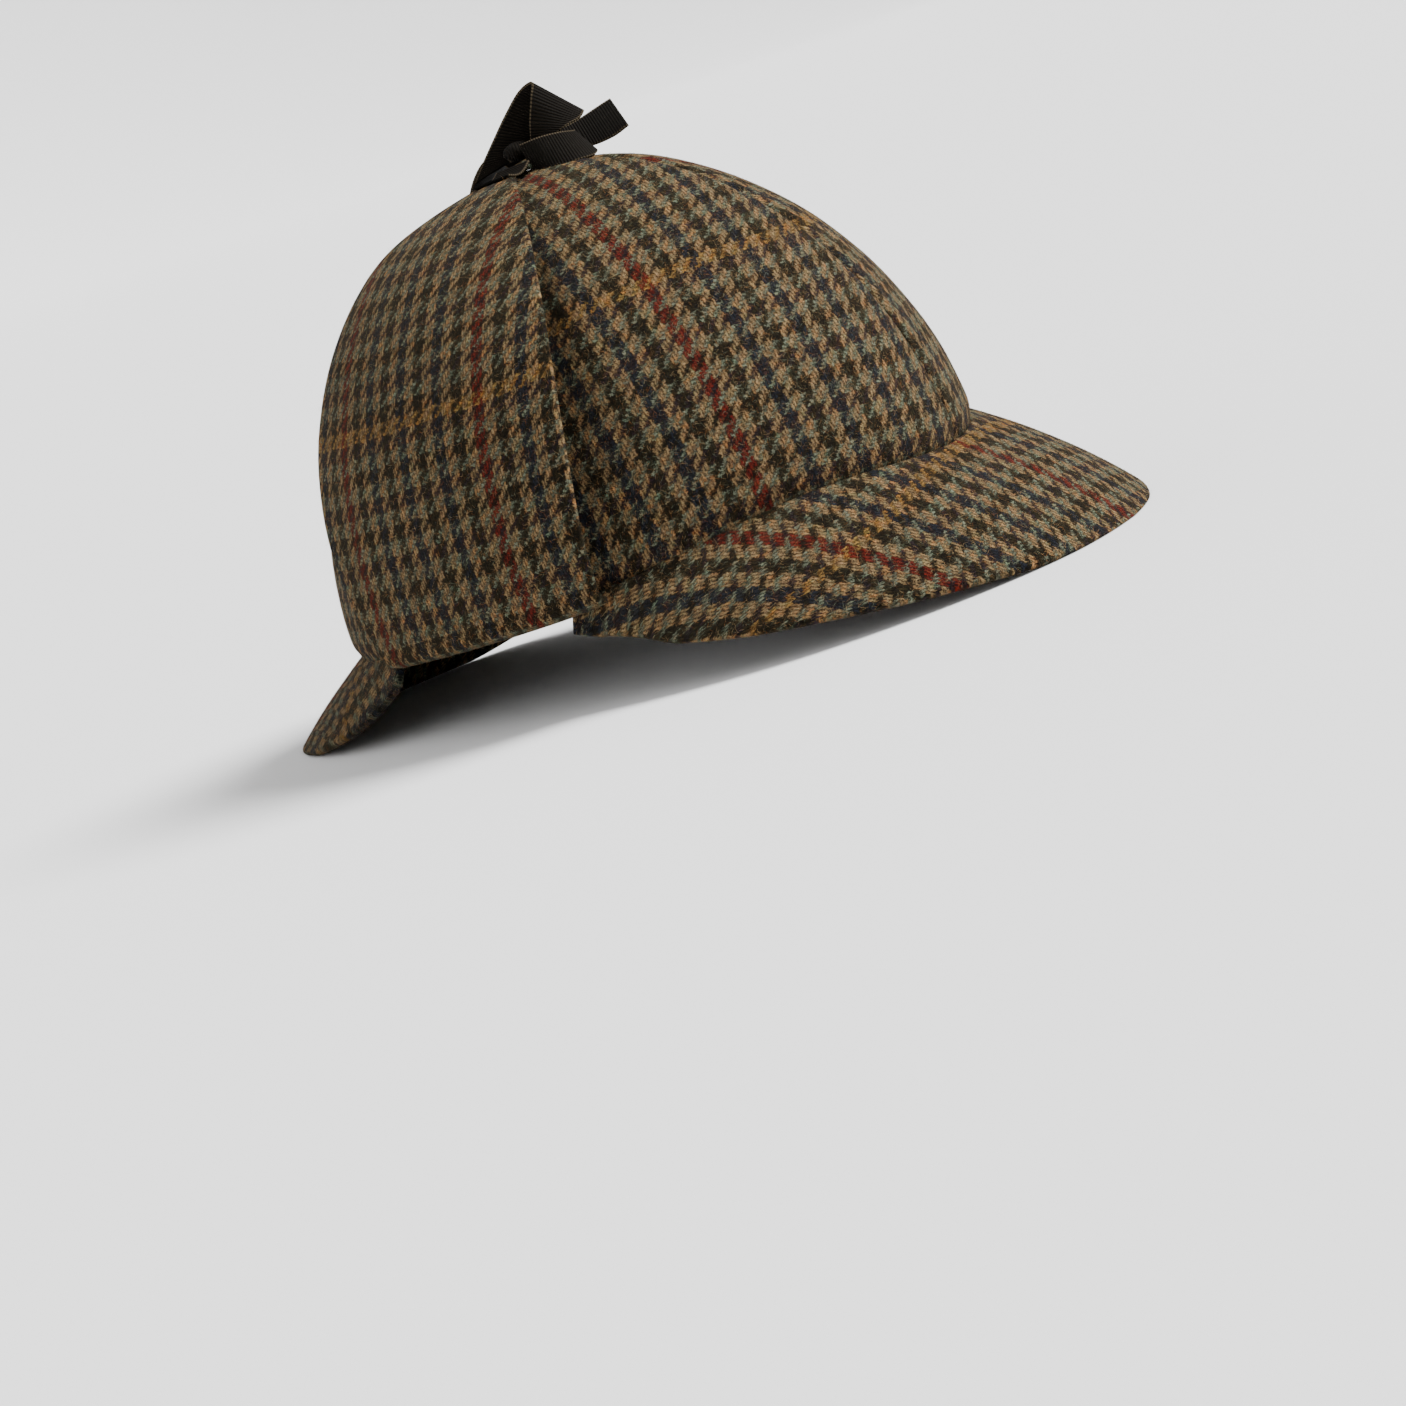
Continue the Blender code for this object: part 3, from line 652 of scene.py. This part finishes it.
peak_sizes = {
    "front_peak": {"middle": 0.0, "span": math.radians(88), "length": 0.0540,
                   "across": 160, "along": 52, "warp_shift": 0.0035, "weft_shift": 0.0386, "seed": 18},
    "back_peak": {"middle": math.pi, "span": math.radians(52), "length": 0.0370,
                  "across": 110, "along": 40, "warp_shift": 0.0400, "weft_shift": 0.2300, "seed": 17},
}
peak_wall = 0.0030
peak_turnin = 0.0020
peak_seam_lift = 1.6
peak_unevenness = 0.0003
peak_nap = 12000
near_rim = 0.02

# The warp of a peak's cover is eased in over its middle, by a share that falls off as a bell
# curve does, and its weft bends back towards the sides
peak_ease = 0.16
peak_ease_reach = 0.040
bell_area = 0.886
peak_thread_bend = 376
for peak_name, size in peak_sizes.items():

    def peak_start(share_round):
        side = 2 * share_round - 1
        row = blend_rows(peak_rows[peak_name], "share", abs(side))
        around = size["middle"] + side * size["span"]
        outward = crown_normal(around, near_rim)
        heading = math.atan2(outward.y, outward.x) + math.copysign(math.radians(row["lean"]), side)
        start = crown_surface(around, 0.0)
        point = start - outward * crown_wall / 2
        point.z = start.z - seam_gap - peak_wall / 2 * math.cos(math.radians(row["slope_in"]))
        return point, Vector((math.cos(heading), math.sin(heading), 0.0)), row

    def peak_point(share_round, share_along):
        share_out = math.sin(share_along * math.pi / 2)
        point, level, row = peak_start(crowded(share_round))
        tilt_in = math.radians(row["slope_in"])
        tilt_out = math.radians(row["slope_out"])
        reach = (row["reach"] * size["length"] + peak_turnin) * share_out
        point -= level * peak_turnin * (1 - share_out)
        point.z += seam_gap * peak_seam_lift * (1 - share_out) ** 4
        steps = 6
        for step in range(steps):
            tilt = tilt_in + (tilt_out - tilt_in) * share_out * (step + 0.5) / steps
            point += (level * math.cos(tilt) + Vector((0, 0, -math.sin(tilt)))) * reach / steps
        point.z += uneven(point, peak_unevenness)
        return point

    def peak_cut(i, j):
        point, level, row = peak_start(crowded(i / size["across"]))
        share_out = math.sin(j / size["along"] * math.pi / 2)
        flat = point + level * row["reach"] * size["length"] * share_out
        eased = peak_ease * peak_ease_reach * bell_area * math.erf(flat.x / peak_ease_reach)
        bent = peak_thread_bend * flat.x ** 4
        return (size["warp_shift"] - flat.x + eased, size["weft_shift"] - flat.y + bent)

    peak = cloth_grid("tweed_" + peak_name, size["across"], size["along"], peak_point)
    mark_cloth(peak, size["across"], size["along"], peak_cut)
    grid = (size["across"], size["along"])
    weft_length, warp_length = measured_cut(*grid, lambda share_up: 0.5, peak_point)
    from_sides = np.minimum(weft_length - weft_length[0], weft_length[-1] - weft_length)
    from_ends = warp_length[-1] - warp_length
    give_wall(peak, peak_wall, tweed, np.minimum(from_sides, from_ends).T.ravel())
    for vertex in peak.data.vertices:
        vertex.co.z = max(vertex.co.z, 0.0)
    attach(peak, "root")
    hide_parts(peak_name)
    tease(peak, peak_nap, size["seed"])


# The button: a small metal shell covered with a scrap of the tweed, and sewn down over the
# place where the tips of the four gores meet.
button_radius = 0.0075
button_height = 0.0030
button_tuck = 0.12
button_warp_shift = 0.0050
button_weft_shift = 0.0545
bpy.ops.object.select_all(action="DESELECT")
bpy.ops.mesh.primitive_uv_sphere_add(segments=48, ring_count=24, radius=button_radius)
button = bpy.context.active_object
button.name = "tweed_button"
for vertex in button.data.vertices:
    height = max(vertex.co.z / button_radius, -button_tuck) + button_tuck
    vertex.co.z = crown_height + seam_gap + button_height * height
layer = button.data.uv_layers.active
for loop in button.data.loops:
    spot = button.data.vertices[loop.vertex_index].co
    layer.data[loop.index].uv = (button_warp_shift + spot.x, button_weft_shift + spot.y)
for vertex in button.data.vertices:
    vertex.co = rest @ vertex.co
bpy.ops.object.shade_smooth()
button.data.materials.append(tweed)
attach(button, "root")
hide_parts("top_button")


# The ribbon: dark brown grosgrain, one tie sewn to the tip of each flap, tied in a bow on
# top of the button. Its weft is a thick cord, so close ribs run straight across it.
ribbon_width = 0.0170
ribbon_wall = 0.0006
ribbon_across = 16
bow_along = 80
bow_lift = 0.0012
bow_turn = math.radians(28)
rib_pitch = 0.00085
selvedge_width = 0.0006
grosgrain = bpy.data.materials.new("grosgrain ribbon")
grosgrain.use_nodes = True
tree = grosgrain.node_tree
cloth = add_node(tree, "ShaderNodeUVMap", uv_map="UVMap")[0]
split = add_node(tree, "ShaderNodeSeparateXYZ", {0: cloth})
rib = add_node(tree, "ShaderNodeMath", {0: split[1], 1: rib_pitch}, operation="DIVIDE")[0]
rib = add_node(tree, "ShaderNodeMath", {0: rib}, operation="FRACT")[0]
rib = add_node(tree, "ShaderNodeMath", {0: rib, 1: math.pi}, operation="MULTIPLY")[0]
rib = add_node(tree, "ShaderNodeMath", {0: rib}, operation="SINE")[0]
# Painted shade: the ribbon is coloured darker in the grooves between its ribs and lighter on their crests
ribs_with_painted_shade = add_node(tree, "ShaderNodeMix", {0: rib, 6: linear("#020201"), 7: linear("#120E09")},
                 data_type="RGBA")[2]
# The selvedges: a woven edge, painted much paler as a highlight where the ribbon's edges catch light, with
# the same painted shade between the ribs
edge = add_node(tree, "ShaderNodeMix", {0: rib, 6: linear("#0B0906"), 7: linear("#463D2F")},
                data_type="RGBA")[2]
off_middle = add_node(tree, "ShaderNodeMath", {0: split[0], 1: ribbon_width / 2}, operation="SUBTRACT")[0]
off_middle = add_node(tree, "ShaderNodeMath", {0: off_middle}, operation="ABSOLUTE")[0]
selvedge_with_painted_highlight = add_node(tree, "ShaderNodeMath", {0: off_middle, 1: ribbon_width / 2 - selvedge_width},
                    operation="GREATER_THAN")[0]
colour = add_node(tree, "ShaderNodeMix", {0: selvedge_with_painted_highlight, 6: ribs_with_painted_shade, 7: edge}, data_type="RGBA")[2]
fray = add_node(tree, "ShaderNodeTexNoise", {"Vector": cloth, "Scale": 2400.0, "Detail": 2.0})[0]
relief = add_node(tree, "ShaderNodeMath", {0: fray, 1: 0.25, 2: rib}, operation="MULTIPLY_ADD")[0]
bump = add_node(tree, "ShaderNodeBump", {"Height": relief, "Strength": 0.9, "Distance": 0.00025})[0]
shader = tree.nodes["Principled BSDF"]
tree.links.new(colour, shader.inputs["Base Color"])
tree.links.new(bump, shader.inputs["Normal"])
shader.inputs["Roughness"].default_value = 0.75
shader.inputs["Specular IOR Level"].default_value = 0.05
ribbon_stations = {
    "ribbon_loop_tall": [
        {"ahead": -0.68, "near": -0.30, "up": 0.13, "wide_a": 0.35, "wide_n": 0.02, "wide_u": 0.07},
        {"ahead": -0.36, "near": -0.35, "up": 0.28, "wide_a": 0.41, "wide_n": 0.02, "wide_u": -0.06},
        {"ahead": -0.05, "near": -0.37, "up": 0.43, "wide_a": 0.43, "wide_n": 0.02, "wide_u": -0.19},
        {"ahead": 0.29, "near": -0.34, "up": 0.66, "wide_a": 0.38, "wide_n": 0.02, "wide_u": -0.32},
        {"ahead": 0.61, "near": -0.25, "up": 0.89, "wide_a": 0.34, "wide_n": 0.00, "wide_u": -0.37},
        {"ahead": 0.86, "near": -0.06, "up": 0.93, "wide_a": 0.33, "wide_n": 0.00, "wide_u": -0.39},
        {"ahead": 0.76, "near": 0.10, "up": 0.77, "wide_a": 0.33, "wide_n": 0.04, "wide_u": -0.32},
        {"ahead": 0.54, "near": 0.16, "up": 0.56, "wide_a": 0.28, "wide_n": 0.09, "wide_u": -0.15},
        {"ahead": 0.32, "near": 0.15, "up": 0.35, "wide_a": 0.17, "wide_n": 0.10, "wide_u": -0.03},
    ],
    "ribbon_loop_low": [
        {"ahead": -0.04, "near": 0.34, "up": 0.16, "wide_a": 0.02, "wide_n": 0.05, "wide_u": -0.24},
        {"ahead": 0.32, "near": 0.52, "up": 0.10, "wide_a": 0.03, "wide_n": 0.12, "wide_u": -0.30},
        {"ahead": 0.70, "near": 0.54, "up": 0.07, "wide_a": 0.06, "wide_n": 0.14, "wide_u": -0.28},
        {"ahead": 0.97, "near": 0.36, "up": 0.03, "wide_a": 0.10, "wide_n": 0.10, "wide_u": -0.26},
        {"ahead": 1.02, "near": 0.10, "up": 0.07, "wide_a": 0.12, "wide_n": 0.04, "wide_u": -0.22},
        {"ahead": 0.80, "near": -0.09, "up": 0.17, "wide_a": 0.08, "wide_n": -0.02, "wide_u": -0.14},
        {"ahead": 0.52, "near": -0.13, "up": 0.21, "wide_a": 0.04, "wide_n": -0.03, "wide_u": -0.10},
        {"ahead": 0.27, "near": -0.14, "up": 0.24, "wide_a": 0.02, "wide_n": -0.03, "wide_u": -0.08},
    ],
    "ribbon_end_front": [
        {"ahead": 0.20, "near": -0.48, "up": 0.36, "wide_a": 0.02, "wide_n": 0.04, "wide_u": -0.09},
        {"ahead": 0.44, "near": -0.53, "up": 0.29, "wide_a": 0.02, "wide_n": 0.07, "wide_u": -0.15},
        {"ahead": 0.76, "near": -0.56, "up": 0.20, "wide_a": 0.03, "wide_n": 0.16, "wide_u": -0.20},
        {"ahead": 1.10, "near": -0.52, "up": 0.18, "wide_a": 0.04, "wide_n": 0.27, "wide_u": -0.25},
        {"ahead": 1.46, "near": -0.40, "up": 0.22, "wide_a": 0.05, "wide_n": 0.36, "wide_u": -0.28},
        {"ahead": 1.77, "near": -0.30, "up": 0.29, "wide_a": 0.05, "wide_n": 0.41, "wide_u": -0.27},
    ],
    "ribbon_end_back": [
        {"ahead": -0.16, "near": -0.58, "up": 0.34, "wide_a": -0.10, "wide_n": 0.02, "wide_u": 0.05},
        {"ahead": -0.26, "near": -0.82, "up": 0.37, "wide_a": -0.20, "wide_n": 0.06, "wide_u": 0.07},
        {"ahead": -0.44, "near": -1.16, "up": 0.30, "wide_a": -0.34, "wide_n": 0.16, "wide_u": 0.04},
        {"ahead": -0.66, "near": -1.54, "up": 0.16, "wide_a": -0.38, "wide_n": 0.26, "wide_u": -0.04},
        {"ahead": -0.86, "near": -1.96, "up": -0.06, "wide_a": -0.40, "wide_n": 0.26, "wide_u": -0.12},
    ],
}


def bow_vector(ahead, near, up):
    """A direction of the bow, given as shares of the ribbon's width, in the hat's own axes."""
    forward = Vector((math.sin(bow_turn), -math.cos(bow_turn), 0.0))
    towards = Vector((-math.cos(bow_turn), -math.sin(bow_turn), 0.0))
    return (forward * ahead + towards * near + Vector((0, 0, up))) * ribbon_width


def bow_point(ahead, near, up):
    """A point of the bow, measured from the foot of the button."""
    return Vector((0, 0, crown_height + bow_lift)) + bow_vector(ahead, near, up)


def make_ribbon(name, node, place, across, along):
    """One length of the ribbon, with its ribs marked straight across it."""
    warp_length = measured_cut(across, along, lambda share_up: 0.5, place)[1]
    ribbon = cloth_grid(name, across, along, place)
    mark_cloth(ribbon, across, along, lambda i, j: (i / across * ribbon_width, warp_length[j]))
    give_wall(ribbon, ribbon_wall, grosgrain)
    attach(ribbon, "root")
    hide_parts(node)


for node, stations in ribbon_stations.items():
    numbered = [dict(row, station=index) for index, row in enumerate(stations)]

    def ribbon_place(share_wide, share_long):
        row = blend_rows(numbered, "station", share_long * (len(numbered) - 1))
        middle = bow_point(row["ahead"], row["near"], row["up"])
        half_width = bow_vector(row["wide_a"], row["wide_n"], row["wide_u"])
        return middle + half_width * (2 * share_wide - 1)

    ribbon_name = node.replace("ribbon_", "grosgrain_")
    make_ribbon(ribbon_name, node, ribbon_place, ribbon_across, bow_along)

# The ties run from the flaps' tips to the knot and sag a little on the way
tie_along = 40
tie_wide_start = 0.38
tie_wide_end = 0.34
tie_bow = -0.10
tie_lift = 0.0009
tie_ends = {
    "right": {"ahead": -0.30, "near": 0.36, "up": 0.09},
    "left": {"ahead": -0.14, "near": -0.62, "up": 0.20},
}
flap_end = flap_sections[-1]
for side_name, aside in (("right", -1), ("left", 1)):
    around = aside * math.radians((flap_end["front"] + flap_end["rear"]) / 2)
    tie_start = crown_surface(around, flap_end["rise"])
    tie_start += crown_normal(around, flap_end["rise"]) * (flap_wall + 2 * seam_gap + tie_lift)
    tie_end = bow_point(**tie_ends[side_name])

    def tie_place(share_wide, share_long):
        point = tie_start.lerp(tie_end, share_long)
        point.z += ribbon_width * tie_bow * math.sin(math.pi * share_long)
        wide = ribbon_width * (tie_wide_start + (tie_wide_end - tie_wide_start) * share_long)
        return point + Vector((0, 1, 0)) * wide * (2 * share_wide - 1)

    tie_name = "tie_" + side_name
    make_ribbon("grosgrain_" + tie_name, "ribbon_" + tie_name, tie_place, ribbon_across, tie_along)

# The knot: a turn of the same ribbon pulled tight round the two loops
knot_place = {"ahead": -0.14, "near": 0.04, "up": 0.32}
knot_length = 0.0076
knot_depth = 0.0070
knot_rise = 0.0054
knot_squareness = 0.10
bpy.ops.object.select_all(action="DESELECT")
bpy.ops.mesh.primitive_uv_sphere_add(segments=48, ring_count=32, radius=1.0)
knot = bpy.context.active_object
knot.name = "grosgrain_knot"
knot_middle = bow_point(**knot_place)
turned = Matrix.Rotation(bow_turn - math.pi / 2, 3, "Z")
layer = knot.data.uv_layers.active
for loop in knot.data.loops:
    spot = knot.data.vertices[loop.vertex_index].co
    weft_length = ribbon_width / 2 + spot.z * knot_rise / 2
    layer.data[loop.index].uv = (weft_length, spot.x * knot_length / 2)
for vertex in knot.data.vertices:
    bulge = 1 + knot_squareness * math.cos(4 * math.atan2(vertex.co.y, vertex.co.x))
    spot = Vector((vertex.co.x * knot_length / 2 * bulge,
                   vertex.co.y * knot_depth / 2 * bulge,
                   vertex.co.z * knot_rise / 2))
    vertex.co = rest @ (knot_middle + turned @ spot)
bpy.ops.object.shade_smooth()
knot.data.materials.append(grosgrain)
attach(knot, "root")
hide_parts("ribbon_knot")


# The studio: a pale floor that curves up into walls all round and is open above, so that a
# broad soft light falls from overhead, with one large lamp high in front of the hat.
floor_radius = 9.0
wall_bend = 3.0
wall_height = 5.0
floor_clearance = 0.0002
floor_around = 96
floor_outwards = 60
merge_distance = 0.0001


def floor_profile(share_out):
    """How far out and how high the floor is, from its middle to the top of its wall."""
    bend_length = wall_bend * math.pi / 2
    gone = share_out * (floor_radius + bend_length + wall_height - wall_bend)
    if gone < floor_radius:
        return gone, 0.0
    if gone < floor_radius + bend_length:
        turn = (gone - floor_radius) / wall_bend
        return floor_radius + wall_bend * math.sin(turn), wall_bend * (1 - math.cos(turn))
    return floor_radius + wall_bend, wall_bend + gone - floor_radius - bend_length


bpy.ops.object.select_all(action="DESELECT")
bpy.ops.mesh.primitive_grid_add(x_subdivisions=floor_around, y_subdivisions=floor_outwards, size=2)
floor = bpy.context.active_object
floor.name = "studio_floor"
for vertex in floor.data.vertices:
    around = vertex.co.x * math.pi
    out, up = floor_profile((vertex.co.y + 1) / 2)
    vertex.co = (out * math.cos(around), out * math.sin(around), up - floor_clearance)
bpy.ops.object.mode_set(mode="EDIT")
bpy.ops.mesh.select_all(action="SELECT")
bpy.ops.mesh.remove_doubles(threshold=merge_distance)
bpy.ops.object.mode_set(mode="OBJECT")
bpy.ops.object.shade_smooth()

# White paper is matt all over, so the hat's shadow lies soft and even on it
paper = bpy.data.materials.new("white paper")
paper.use_nodes = True
shader = paper.node_tree.nodes["Principled BSDF"]
shader.inputs["Base Color"].default_value = linear("#E2E2E2")
shader.inputs["Roughness"].default_value = 0.9
shader.inputs["Specular IOR Level"].default_value = 0.1
floor.data.materials.append(paper)

# Over the walls the studio is open to an even white light
studio = bpy.data.worlds.new("studio")
bpy.context.scene.world = studio
studio.use_nodes = True
background = studio.node_tree.nodes["Background"]
background.inputs["Color"].default_value = linear("#FFFFFF")
background.inputs["Strength"].default_value = 0.85

# The lamp's angle is the part of the sky that it fills, which makes its shadows soft
lamp_place = Vector((0.8, -1.5, 1.8))
lamp = bpy.data.lights.new("soft light above", "SUN")
lamp.energy = 8.6
lamp.angle = math.radians(27)
lamp_object = bpy.data.objects.new("soft light above", lamp)
bpy.context.collection.objects.link(lamp_object)
lamp_object.location = lamp_place
lamp_object.rotation_euler = lamp_place.to_track_quat("Z", "Y").to_euler()

# The camera: low, from the wearer's right and a little ahead, rolled as the hat leans in the
# picture, and aimed beside the hat so that it stands where it stands there
camera_azimuth = math.radians(62.27)
camera_rise = math.radians(6.03)
camera_roll = math.radians(19.0)
camera_distance = 1.2
camera_target = Vector((0.0, 0.0073, 0.0488))
aim_right = 0.0197
aim_up = -0.0672
lens_length = 102.9
sensor_width = 36.0
back = Vector((-math.sin(camera_azimuth) * math.cos(camera_rise),
               -math.cos(camera_azimuth) * math.cos(camera_rise),
               math.sin(camera_rise)))
level = Vector((math.cos(camera_azimuth), -math.sin(camera_azimuth), 0.0))
upright = back.cross(level)
picture_right = level * math.cos(camera_roll) - upright * math.sin(camera_roll)
picture_up = level * math.sin(camera_roll) + upright * math.cos(camera_roll)
place = camera_target + back * camera_distance
aim = camera_target + picture_right * aim_right + picture_up * aim_up
back = (place - aim).normalized()
picture_right = (picture_right - back * picture_right.dot(back)).normalized()
picture_up = back.cross(picture_right)
lens = bpy.data.cameras.new("camera")
lens.lens = lens_length
lens.sensor_width = sensor_width
camera = bpy.data.objects.new("camera", lens)
bpy.context.collection.objects.link(camera)
camera.location = place
camera.rotation_euler = Matrix((picture_right, picture_up, back)).transposed().to_euler()
bpy.context.scene.camera = camera
